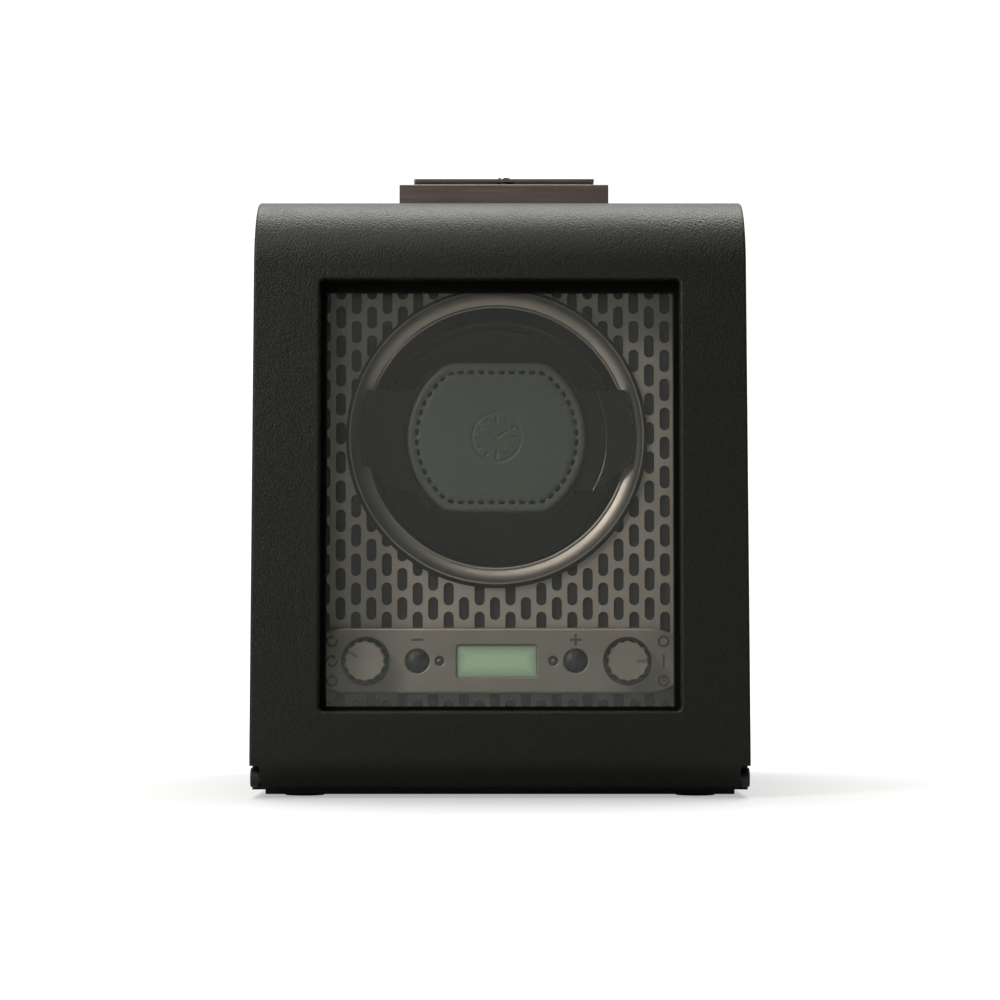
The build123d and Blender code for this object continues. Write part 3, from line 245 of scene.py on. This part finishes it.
def moulded(name, color, roughness, texture=0.3, size=0.45 * MM, mottle=1.0, **sockets):
    """Moulded plastic or rubber with a fine texture; mottle scales how much its gloss varies."""
    made, tree, shader = material(name, color, roughness, **sockets)
    fine = noise(tree, 1 / size, 3.0)
    cloud = noise(tree, 40.0, 2.0)
    shades(tree, shader, cloud, tint(color, 0.88), tint(color, 1.1))
    tree.links.new(
        spread(tree, fine, roughness - 0.04 * mottle, roughness + 0.06 * mottle),
        shader.inputs["Roughness"],
    )
    bumps(tree, shader, [(cloud, 0.05, 0.3 * MM), (fine, texture, 0.05 * MM)])
    return made


def pile(name, color, sheen=0.25, shine=0.5):
    """Short-napped suede cloth."""
    made, tree, shader = material(name, color, 0.95, Sheen_Weight=sheen, Specular_IOR_Level=shine)
    nap = noise(tree, 2600.0, 4.0, rough=0.7)
    drift = noise(tree, 60.0, 3.0)
    shades(tree, shader, drift, tint(color, 0.75), tint(color, 1.3))
    bumps(tree, shader, [(drift, 0.2, 0.4 * MM), (nap, 0.7, 0.12 * MM)])
    return made


def wood(name, pale, dark):
    made, tree, shader = material(name, pale, 0.65)
    place = own_coordinates(tree, (260.0, 260.0, 14.0))
    grain = noise(tree, 1.0, 5.0, place, rough=0.6)
    shades(tree, shader, grain, dark, pale)
    bumps(tree, shader, [(grain, 0.3, 0.15 * MM)])
    return made


def circuit(name):
    made, tree, shader = material(name, (0.02, 0.12, 0.05), 0.35, Coat_Weight=0.3)
    tracks = node(
        tree, "ShaderNodeTexVoronoi",
        {"Vector": own_coordinates(tree, (1.0, 0.0, 1.0)), "Scale": 420.0, "Randomness": 0.35},
        distance="CHEBYCHEV", feature="DISTANCE_TO_EDGE",
    ).outputs["Distance"]
    shades(tree, shader, tracks, (0.05, 0.24, 0.09), (0.015, 0.1, 0.04), 0.06, 0.1)
    bumps(tree, shader, [(tracks, 0.3, 0.04 * MM)])
    return made


# A faint diffuse film, in place of the veil of reflections that a real pane shows.
GLASS_REFLECTION_FILM = 0.0165


def pane(name):
    """Thin clear glass: a faint diffuse film gives it a painted reflection, and it mirrors more
    towards grazing angles.
    """
    made = bpy.data.materials.new(name)
    made.use_nodes = True
    tree = made.node_tree
    tree.nodes.remove(tree.nodes["Principled BSDF"])
    facing = node(tree, "ShaderNodeLayerWeight", {"Blend": 0.5}).outputs["Facing"]
    share = math_node(tree, "MULTIPLY_ADD", math_node(tree, "POWER", facing, 5.0), 0.9, 0.042)
    smears = spread(tree, noise(tree, 22.0, 4.0), 0.012, 0.045)
    clear = node(tree, "ShaderNodeBsdfTransparent", {"Color": (0.965, 0.975, 0.965, 1)}).outputs[0]
    film = node(tree, "ShaderNodeBsdfDiffuse", {"Color": (0.95, 1, 0.93, 1)}).outputs[0]
    # The diffuse film mixed in here is a painted reflection.
    with_reflection_film = node(tree, "ShaderNodeMixShader", {0: GLASS_REFLECTION_FILM, 1: clear, 2: film}).outputs[0]
    mirror = node(
        tree, "ShaderNodeBsdfGlossy", {"Roughness": smears, "Color": (1, 1, 1, 1)}
    ).outputs[0]
    mixed = node(tree, "ShaderNodeMixShader", {0: share, 1: with_reflection_film, 2: mirror}).outputs[0]
    tree.links.new(mixed, tree.nodes["Material Output"].inputs["Surface"])
    return made


def display(name, low, high):
    """Unlit liquid-crystal display: a pale green reflector with painted shade that darkens it
    towards its edges.
    """
    made, tree, shader = material(name, (0.3, 0.4, 0.3), 0.25, Coat_Weight=0.6, Coat_Roughness=0.05)
    split = node(tree, "ShaderNodeSeparateXYZ", {0: own_coordinates(tree)})
    nearest = None
    for axis in ("X", "Z"):
        span = {"X": (low.x, high.x), "Z": (low.z, high.z)}[axis]
        for end, sign in ((span[0], 1), (span[1], -1)):
            away = math_node(tree, "SUBTRACT", split.outputs[axis], end)
            away = math_node(tree, "MULTIPLY", away, sign)
            nearest = away if nearest is None else math_node(tree, "MINIMUM", nearest, away)
    # Painted shade: the colour darkens within a few millimetres of the display's edges.
    depth = spread(tree, nearest, 0.0, 1.0, 2.6 * MM, 6.2 * MM)
    shades(tree, shader, depth, (0.26, 0.35, 0.25), (0.41, 0.58, 0.39), 0.0, 1.0)
    weave = noise(tree, 1800.0, 2.0)
    bumps(tree, shader, [(weave, 0.08, 0.02 * MM)])
    return made


drum_low, drum_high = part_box("drum_bezel")
DRUM_X = (drum_low.x + drum_high.x) / 2
DRUM_Z = (drum_low.z + drum_high.z) / 2

LEATHER = leather("leather_black", (0.008, 0.0082, 0.0062), 0.62 * MM, 0.45, 1.0, 0.27)
CUFF_LEATHER = leather("leather_cuff", (0.06, 0.064, 0.055), 0.42 * MM, 0.55, 0.4, 0.35)
TAUPE = (0.345, 0.3, 0.265)
PLATE = satin_metal("plate_taupe", TAUPE, 0.42, 0.55)
FASCIA = satin_metal("fascia_taupe", tint(TAUPE, 0.77), 0.38, 0.55)
fascia_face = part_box("control_fascia")[0].y
# Painted shade on the floors of the marks cut into the fascia.
paint_groove_shade(FASCIA, fascia_face + 0.2 * MM, fascia_face + 0.5 * MM, 0.4)
KNOB = satin_metal("knob_taupe", tint(TAUPE, 0.86), 0.36, 0.6)
knob_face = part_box("mode_knob")[0].y
# Painted shade on the floor of the knob's pointer groove.
paint_groove_shade(KNOB, knob_face + 0.4 * MM, knob_face + 0.6 * MM, 0.6)
# Painted shade: the knob's flange, behind the knob, is darkened nearly to black where the shade
# round the knob falls.
paint_groove_shade(KNOB, knob_face + 7.0 * MM, knob_face + 7.5 * MM, 0.03)
GUNMETAL = satin_metal("latch_gunmetal", (0.165, 0.135, 0.117), 0.38, 0.75, (40.0, 2600.0, 2600.0))
BEZEL = turned_metal("bezel_satin", (0.295, 0.256, 0.232), 0.46, DRUM_X, DRUM_Z)
STEEL = satin_metal("steel", (0.52, 0.51, 0.5), 0.25)
BRASS = satin_metal("brass", (0.62, 0.45, 0.2), 0.3)
HINGE = satin_metal("hinge_black", (0.02, 0.02, 0.02), 0.45, 0.4)
BLACK_GLOSS = moulded("plastic_black_satin", (0.005, 0.005, 0.0048), 0.2, 0.004, 0.9 * MM, 0.1)
BLACK_CUP = moulded("plastic_black_cup", (0.009, 0.009, 0.0088), 0.4, 0.12, 0.6 * MM)
BLACK_FRAME = pile("window_flock", (0.0025, 0.0025, 0.0024), 0.0, 0.08)
BLACK_MATT = moulded("plastic_black_matt", (0.012, 0.012, 0.012), 0.55, 0.35)
PALE_PLASTIC = moulded("plastic_pale", (0.6, 0.6, 0.55), 0.4, 0.2)
RUBBER = moulded("rubber_black", (0.016, 0.016, 0.016), 0.6, 0.4, 0.3 * MM)
BUTTON = moulded(
    "rubber_button", (0.007, 0.007, 0.0066), 0.42, 0.2, 0.3 * MM, Specular_IOR_Level=0.35
)
BACKING = pile("backing_black", (0.006, 0.006, 0.006))
LINING = pile("lining_black", (0.012, 0.012, 0.012))
WOOD = wood("batten_wood", (0.52, 0.37, 0.22), (0.33, 0.21, 0.11))
BOARD = circuit("circuit_board")
PANE = pane("pane_glass")
display_low, display_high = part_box("lcd_module")
DISPLAY = display("display_green", display_low, display_high)
LAMP = moulded("lamp_dark", (0.075, 0.06, 0.052), 0.25, 0.05, Coat_Weight=0.8)

FINISHES = {
    LEATHER: ["case_shell", "cover_shell"],
    PLATE: ["front_plate"],
    FASCIA: ["control_fascia"],
    KNOB: ["direction_knob", "mode_knob"],
    GUNMETAL: ["latch_block", "release_plate"],
    BEZEL: ["drum_bezel"],
    STEEL: [
        "rear_panel_screws", "plate_screws", "tray_screws", "board_screws", "bracket_screws",
        "latch_screws", "keeper_screws", "motor_screws", "fascia_nuts", "release_spring",
        "cuff_springs", "drum_shaft", "shaft_clip", "hinge_pins", "release_screw",
        "release_plunger", "direction_spindle", "mode_spindle", "cuff_clips", "keeper_tongue",
        "gear_motor",
    ],
    BRASS: ["bearing_bush", "hinge_bushes"],
    HINGE: ["hinge_brackets"],
    BLACK_GLOSS: ["cuff_frame"],
    BLACK_CUP: ["drum_cup"],
    BLACK_MATT: [
        "cuff_rear", "module_tray", "dc_jack", "rear_panel", "base_plate", "rotary_switches",
        "tact_switches", "cover_bumpers",
    ],
    BLACK_FRAME: ["window_frame", "glass_retainer"],
    PALE_PLASTIC: ["drum_pulley", "motor_pulley"],
    RUBBER: ["glass_gasket", "feet", "drive_belt"],
    BUTTON: ["minus_button", "plus_button"],
    BACKING: ["plate_backing"],
    LINING: ["cavity_liner"],
    WOOD: ["battens"],
    BOARD: ["control_board"],
    PANE: ["glass_pane"],
    DISPLAY: ["lcd_module"],
    LAMP: ["indicator_leds"],
}


def paint(obj, finish):
    obj.data.materials.clear()
    obj.data.materials.append(finish)


for finish, names in FINISHES.items():
    for name in names:
        paint(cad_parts[name], finish)


def piece(name, bm, finish, body, smooth=True):
    """A new mesh object that rides on a body."""
    mesh = bpy.data.meshes.new(name)
    bm.normal_update()
    bm.to_mesh(mesh)
    bm.free()
    for face in mesh.polygons:
        face.use_smooth = smooth
    made = bpy.data.objects.new(name, mesh)
    scene.collection.objects.link(made)
    made.data.materials.append(finish)
    if body is not None:
        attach(made, body)
    return made


# ---- the cuff's stitched leather pad ----
pad_low, pad_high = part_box("cuff_pad")
PAD_FRONT = pad_low.y
PAD_BACK = pad_high.y
PAD_R = (pad_high.x - pad_low.x) / 2
PAD_FLAT = (pad_high.z - pad_low.z) / 2
STITCH_INSET = 3.4 * MM
STITCH_PITCH = 3.6 * MM
PAD_SEGMENTS = 216
PAD_RINGS = 40


def pad_outline(angle):
    """Radius of the pad's outline: a circle with flattened, softly rounded top and bottom."""
    flat = PAD_FLAT / max(abs(math.sin(angle)), 1e-6)
    soft = 46.0
    return (PAD_R ** -soft + flat ** -soft) ** (-1 / soft)


def pad_edge_distance(x, z):
    angle = math.atan2(z, x)
    reach = math.hypot(x, z)
    round_gap = PAD_R - reach
    flat_gap = PAD_FLAT - abs(z)
    if min(round_gap, flat_gap) > 2 * STITCH_INSET:
        return min(round_gap, flat_gap)
    return min(round_gap, flat_gap, pad_outline(angle) - reach)


def stitch_line():
    """Evenly spaced points and directions along the pad's seam."""
    steps = 2880
    points = []
    for k in range(steps):
        angle = 2 * math.pi * k / steps
        direction = Vector((math.cos(angle), math.sin(angle)))
        reach = (PAD_R - STITCH_INSET, (PAD_FLAT - STITCH_INSET) / max(abs(direction.y), 1e-6))
        soft = 40.0
        radius = (reach[0] ** -soft + reach[1] ** -soft) ** (-1 / soft)
        points.append(direction * radius)
    lengths = [0.0]
    for a, b in zip(points, points[1:] + points[:1]):
        lengths.append(lengths[-1] + (b - a).length)
    count = round(lengths[-1] / STITCH_PITCH)
    found = []
    index = 0
    for s in range(count):
        target = (s + 0.5) * lengths[-1] / count
        while lengths[index + 1] < target:
            index += 1
        a, b = points[index % steps], points[(index + 1) % steps]
        found.append((a.lerp(b, 0.5), (b - a).normalized()))
    return found


STITCHES = stitch_line()
GROOVE_DEPTH = 0.22 * MM
DIMPLE_DEPTH = 0.5 * MM
DIMPLE_R = 1.15 * MM


def sewn_relief(x, z):
    """Depth of the sewn groove, with a dimple where each stitch pulls the leather down."""
    gap = pad_edge_distance(x, z) - STITCH_INSET
    if abs(gap) > 3 * MM:
        return 0.0
    here = Vector((x, z))
    away = min((here - centre).length for centre, along in STITCHES)
    dimple = DIMPLE_DEPTH * math.exp(-((away / DIMPLE_R) ** 2))
    return GROOVE_DEPTH * math.exp(-((gap / (0.8 * MM)) ** 2)) + dimple


DIAL_R = 8.6 * MM
DIAL_LINE = 0.42 * MM
DIAL_DEPTH = 0.32 * MM
LONG_MARK = 5.6 * MM
SHORT_MARK = 6.4 * MM
MARK_END = 7.3 * MM
HANDS = ((math.radians(305), 3.1 * MM), (math.radians(60), 4.6 * MM))


def dial_relief(x, z):
    """A generic dial: a ring, twelve hour marks and two hands at ten past ten."""
    reach = math.hypot(x, z)
    if reach > DIAL_R + 2 * DIAL_LINE:
        return 0.0
    lines = [abs(reach - DIAL_R)]
    for hour in range(12):
        angle = math.radians(30 * hour)
        along = x * math.sin(angle) + z * math.cos(angle)
        aside = abs(x * math.cos(angle) - z * math.sin(angle))
        start = LONG_MARK if hour % 3 == 0 else SHORT_MARK
        if along > 0:
            lines.append(math.hypot(aside, max(start - along, along - MARK_END, 0)))
    for angle, length in HANDS:
        along = x * math.sin(angle) + z * math.cos(angle)
        aside = abs(x * math.cos(angle) - z * math.sin(angle))
        lines.append(math.hypot(aside, max(-along, along - length, 0)))
    nearest = min(lines)
    return DIAL_DEPTH * max(0.0, 1 - max(0.0, nearest - DIAL_LINE / 2) / (0.45 * MM))


def build_pad():
    """Closed pad: a flat back, a rounded rim and a slightly domed front, as rings of points."""
    bm = bmesh.new()
    skin = PAD_BACK - PAD_FRONT
    profile = [(0.93, 0.0), (0.985, 0.10), (1.0, 0.35), (1.0, 0.62), (0.988, 0.82), (0.965, 0.91)]
    for i in range(PAD_RINGS):
        share = 0.95 * (1 - i / PAD_RINGS)
        profile.append((share, 0.93))
    rings = []
    for share, rise in profile:
        ring = []
        for k in range(PAD_SEGMENTS):
            angle = 2 * math.pi * k / PAD_SEGMENTS
            reach = share * pad_outline(angle)
            x, z = reach * math.cos(angle), reach * math.sin(angle)
            ring.append(bm.verts.new((DRUM_X + x, PAD_BACK - rise * skin, DRUM_Z + z)))
        rings.append(ring)
    for inner, outer in zip(rings[1:], rings[:-1]):
        for k in range(PAD_SEGMENTS):
            after = (k + 1) % PAD_SEGMENTS
            bm.faces.new((outer[k], outer[after], inner[after], inner[k]))
    tip = bm.verts.new((DRUM_X, PAD_BACK - 0.93 * skin, DRUM_Z))
    back = bm.verts.new((DRUM_X, PAD_BACK, DRUM_Z))
    for k in range(PAD_SEGMENTS):
        after = (k + 1) % PAD_SEGMENTS
        bm.faces.new((rings[-1][k], rings[-1][after], tip))
        bm.faces.new((rings[0][after], rings[0][k], back))
    bmesh.ops.recalc_face_normals(bm, faces=bm.faces)
    return bm


def inflate(obj, held, pressure, cap, frames=18):
    """Runs Cloth with pressure on obj; the held points stay, and none moves further than cap."""
    rest = [v.co.copy() for v in obj.data.vertices]
    group = obj.vertex_groups.new(name="held")
    group.add(held, 1.0, "REPLACE")
    cloth = obj.modifiers.new("cloth", "CLOTH")
    settings = cloth.settings
    settings.use_pressure = True
    settings.uniform_pressure_force = pressure
    settings.vertex_group_mass = "held"
    settings.quality = 6
    settings.mass = 0.15
    settings.tension_stiffness = 20
    settings.compression_stiffness = 20
    settings.bending_stiffness = 1.5
    settings.effector_weights.gravity = 0
    cloth.collision_settings.use_collision = False
    cloth.point_cache.frame_end = frames
    for f in range(1, frames + 1):
        scene.frame_set(f)
    shaped = obj.evaluated_get(bpy.context.evaluated_depsgraph_get())
    moved = [v.co.copy() for v in shaped.data.vertices]
    obj.modifiers.remove(cloth)
    obj.vertex_groups.remove(group)
    for vertex, old, new in zip(obj.data.vertices, rest, moved):
        step = new - old
        if step.length > cap:
            step *= cap / step.length
        vertex.co = old + step
    scene.frame_set(1)


pad = piece("cuff_pad_leather", build_pad(), CUFF_LEATHER, None)
pad_sewn = []
for vertex in pad.data.vertices:
    x, z = vertex.co.x - DRUM_X, vertex.co.z - DRUM_Z
    gap = pad_edge_distance(x, z)
    on_back = vertex.co.y > PAD_FRONT + 0.3 * (PAD_BACK - PAD_FRONT)
    if on_back or abs(gap - STITCH_INSET) < 0.5 * MM:
        pad_sewn.append(vertex.index)
inflate(pad, pad_sewn, 3.0, 0.55 * MM)
finer = pad.modifiers.new("finer", "SUBSURF")
finer.levels = finer.render_levels = 1
pad_mesh = bpy.data.meshes.new_from_object(pad.evaluated_get(bpy.context.evaluated_depsgraph_get()))
pad.modifiers.clear()
pad.data = pad_mesh
for vertex in pad.data.vertices:
    if vertex.co.y < PAD_FRONT + 0.25 * (PAD_BACK - PAD_FRONT):
        x, z = vertex.co.x - DRUM_X, vertex.co.z - DRUM_Z
        vertex.co.y += sewn_relief(x, z) + dial_relief(x, z)
for face in pad.data.polygons:
    face.use_smooth = True
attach(pad, "cuff")
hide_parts("cuff_pad")


def build_stitches():
    """Each stitch is a short, plump thread that dips into its holes at both ends."""
    bm = bmesh.new()
    length, radius, sides, spans = 2.4 * MM, 0.62 * MM, 8, 8
    surface = PAD_FRONT + 0.07 * (PAD_BACK - PAD_FRONT) + 0.35 * MM
    for centre, along in STITCHES:
        across = Vector((-along.y, along.x))
        rows = []
        for i in range(spans + 1):
            t = 2 * i / spans - 1
            width = radius * (1 - abs(t) ** 3 * 0.55)
            lift = 0.12 * MM - 0.42 * MM * abs(t) ** 2.4
            row = []
            for k in range(sides):
                turn = 2 * math.pi * k / sides
                flat = centre + along * (t * length / 2) + across * (width * math.cos(turn))
                y = surface - lift - 0.8 * width * math.sin(turn)
                row.append(bm.verts.new((DRUM_X + flat.x, y, DRUM_Z + flat.y)))
            rows.append(row)
        for a, b in zip(rows, rows[1:]):
            for k in range(sides):
                bm.faces.new((a[k], a[(k + 1) % sides], b[(k + 1) % sides], b[k]))
        bm.faces.new(rows[0][::-1])
        bm.faces.new(rows[-1])
    bmesh.ops.recalc_face_normals(bm, faces=bm.faces)
    return bm


def thread(name, color):
    """Twisted sewing thread."""
    made, tree, shader = material(name, color, 0.7, Specular_IOR_Level=0.1)
    twist = noise(tree, 1.0, 2.0, own_coordinates(tree, (5200.0, 2600.0, 5200.0)))
    shades(tree, shader, twist, tint(color, 0.6), tint(color, 1.3))
    bumps(tree, shader, [(twist, 0.5, 0.08 * MM)])
    return made


THREAD = thread("thread_black", (0.006, 0.006, 0.0055))
stitches = piece("cuff_pad_stitches", build_stitches(), THREAD, "cuff")


# ---- springs: coils with closed ends ----
def build_coil(start, along, length, radius, wire, turns):
    """Wire wound round the direction along, with one closed turn at each end."""
    bm = bmesh.new()
    along = Vector(along)
    side = along.orthogonal().normalized()
    up = along.cross(side)
    steps, sides = round(36 * turns), 10
    rows = []
    for i in range(steps + 1):
        turn = turns * i / steps
        rise = length * (turn - 1) / (turns - 2)
        rise = min(max(rise, 0.0) + wire * min(turn, 1), length - wire * min(turns - turn, 1))
        angle = 2 * math.pi * turn
        out = side * math.cos(angle) + up * math.sin(angle)
        centre = Vector(start) + along * rise + out * radius
        row = []
        for k in range(sides):
            around = 2 * math.pi * k / sides
            skin = out * math.cos(around) + along * math.sin(around)
            row.append(bm.verts.new(centre + wire * skin))
        rows.append(row)
    for a, b in zip(rows, rows[1:]):
        for k in range(sides):
            bm.faces.new((a[k], a[(k + 1) % sides], b[(k + 1) % sides], b[k]))
    bm.faces.new(rows[0][::-1])
    bm.faces.new(rows[-1])
    bmesh.ops.recalc_face_normals(bm, faces=bm.faces)
    return bm


def spring(name, bm, node_name, body):
    """A steel coil in place of a CAD spring."""
    coil = piece(name, bm, STEEL, body)
    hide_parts(node_name)
    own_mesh(coil)


CUFF_WIRE = 0.4 * MM
CUFF_TURNS = 9.4
LATCH_WIRE = 0.35 * MM
LATCH_TURNS = 6.0

low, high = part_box("cuff_springs")
coil_r = (high.z - low.z) / 2 - CUFF_WIRE
length = high.y - low.y
for side, x in (("left", low.x + coil_r + CUFF_WIRE), ("right", high.x - coil_r - CUFF_WIRE)):
    start = (x, low.y + CUFF_WIRE, DRUM_Z)
    wound = build_coil(start, (0, 1, 0), length - 2 * CUFF_WIRE, coil_r, CUFF_WIRE, CUFF_TURNS)
    spring(
        f"cuff_spring_{side}", wound, "cuff_springs", "cuff",
    )

low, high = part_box("release_spring")
x, y = (low.x + high.x) / 2, (low.y + high.y) / 2
coil_r = (high.x - low.x) / 2 - LATCH_WIRE
length = high.z - low.z
start = (x, y, low.z + LATCH_WIRE)
wound = build_coil(start, (0, 0, 1), length - 2 * LATCH_WIRE, coil_r, LATCH_WIRE, LATCH_TURNS)
spring(
    "latch_spring", wound, "release_spring", "case",
)


# ---- stage: a white sweep, a soft key light from the upper left and dim fill from the front ----
def build_floor():
    bm = bmesh.new()
    size, cells = 8.0, 16
    places = [-size + 2 * size * i / cells for i in range(cells + 1)]
    grid = [[bm.verts.new((x, y, 0)) for y in places] for x in places]
    for i in range(cells):
        for j in range(cells):
            bm.faces.new((grid[i][j], grid[i + 1][j], grid[i + 1][j + 1], grid[i][j + 1]))
    return bm


PAPER_WHITE = 0.31
# Painted floor glow, seen only by the camera: its strength near and far, over distances from the
# box in metres.
FLOOR_GLOW_NEAR, FLOOR_GLOW_FAR = 0.43, 1.0
FLOOR_GLOW_START, FLOOR_GLOW_END = 0.1, 0.9


def paper():
    """White sweep paper: it bounces little light; to the camera it glows with painted light that
    rises away from the box, so the box sits in painted shade that fades out to white.
    """
    made, tree, shader = material("floor_paper", (PAPER_WHITE, PAPER_WHITE, PAPER_WHITE), 0.9)
    viewed = node(tree, "ShaderNodeLightPath").outputs["Is Camera Ray"]
    away = node(tree, "ShaderNodeVectorMath", {0: own_coordinates(tree)}, operation="LENGTH")
    # Painted light and shade: camera rays see the floor glow, less near the box and more away from
    # it.
    painted_floor_glow = spread(tree, away.outputs["Value"], FLOOR_GLOW_NEAR, FLOOR_GLOW_FAR, FLOOR_GLOW_START, FLOOR_GLOW_END)
    shown = math_node(tree, "MULTIPLY", painted_floor_glow, viewed)
    shader.inputs["Emission Color"].default_value = (0.975, 0.985, 1, 1)
    tree.links.new(shown, shader.inputs["Emission Strength"])
    bumps(tree, shader, [(noise(tree, 900.0, 3.0), 0.05, 0.1 * MM)])
    return made


floor = piece("floor", build_floor(), paper(), None)

world = bpy.data.worlds.new("studio")
scene.world = world
world.use_nodes = True
sky = world.node_tree
background = sky.nodes["Background"]
FRONT_GLOW = 0.05
BACK_GLOW = 1.15
TOP_GLOW = 1.0
SEEN_GLOW = 1.2
outward = node(sky, "ShaderNodeTexCoord").outputs["Generated"]
toward = node(sky, "ShaderNodeSeparateXYZ", {0: outward})
level = spread(sky, toward.outputs["Y"], FRONT_GLOW, BACK_GLOW, -0.1, 0.5)
above = spread(sky, toward.outputs["Z"], 0.0, TOP_GLOW, 0.75, 1.0)
brighter = math_node(sky, "MAXIMUM", level, above)
seen = node(sky, "ShaderNodeLightPath").outputs["Is Camera Ray"]
glow = node(
    sky, "ShaderNodeMix", {0: seen, 2: brighter, 3: SEEN_GLOW}, data_type="FLOAT"
).outputs[0]
sky.links.new(glow, background.inputs["Strength"])
background.inputs["Color"].default_value = (1, 0.995, 0.955, 1)


def softbox(name, place, target, size, watts, color=(1, 0.985, 0.94)):
    lamp = bpy.data.lights.new(name, "AREA")
    lamp.shape = "RECTANGLE"
    lamp.size, lamp.size_y = size
    lamp.energy = watts
    lamp.color = color
    holder = bpy.data.objects.new(name, lamp)
    holder.location = place
    holder.rotation_euler = (Vector(target) - Vector(place)).to_track_quat("-Z", "Y").to_euler()
    holder.visible_camera = False
    scene.collection.objects.link(holder)


AIM = (0, -0.08, 0.1)
softbox("key_left", (-0.8, -1.0, 0.7), AIM, (0.3, 0.3), 8.4)
softbox("side_card", (-0.45, -0.5, 0.15), AIM, (0.15, 0.4), 0.45)
softbox("overhead", (-0.35, -0.85, 1.15), AIM, (1.0, 0.5), 6)
softbox("rim_top", (0.0, 0.3, 1.4), AIM, (1.3, 0.7), 26)
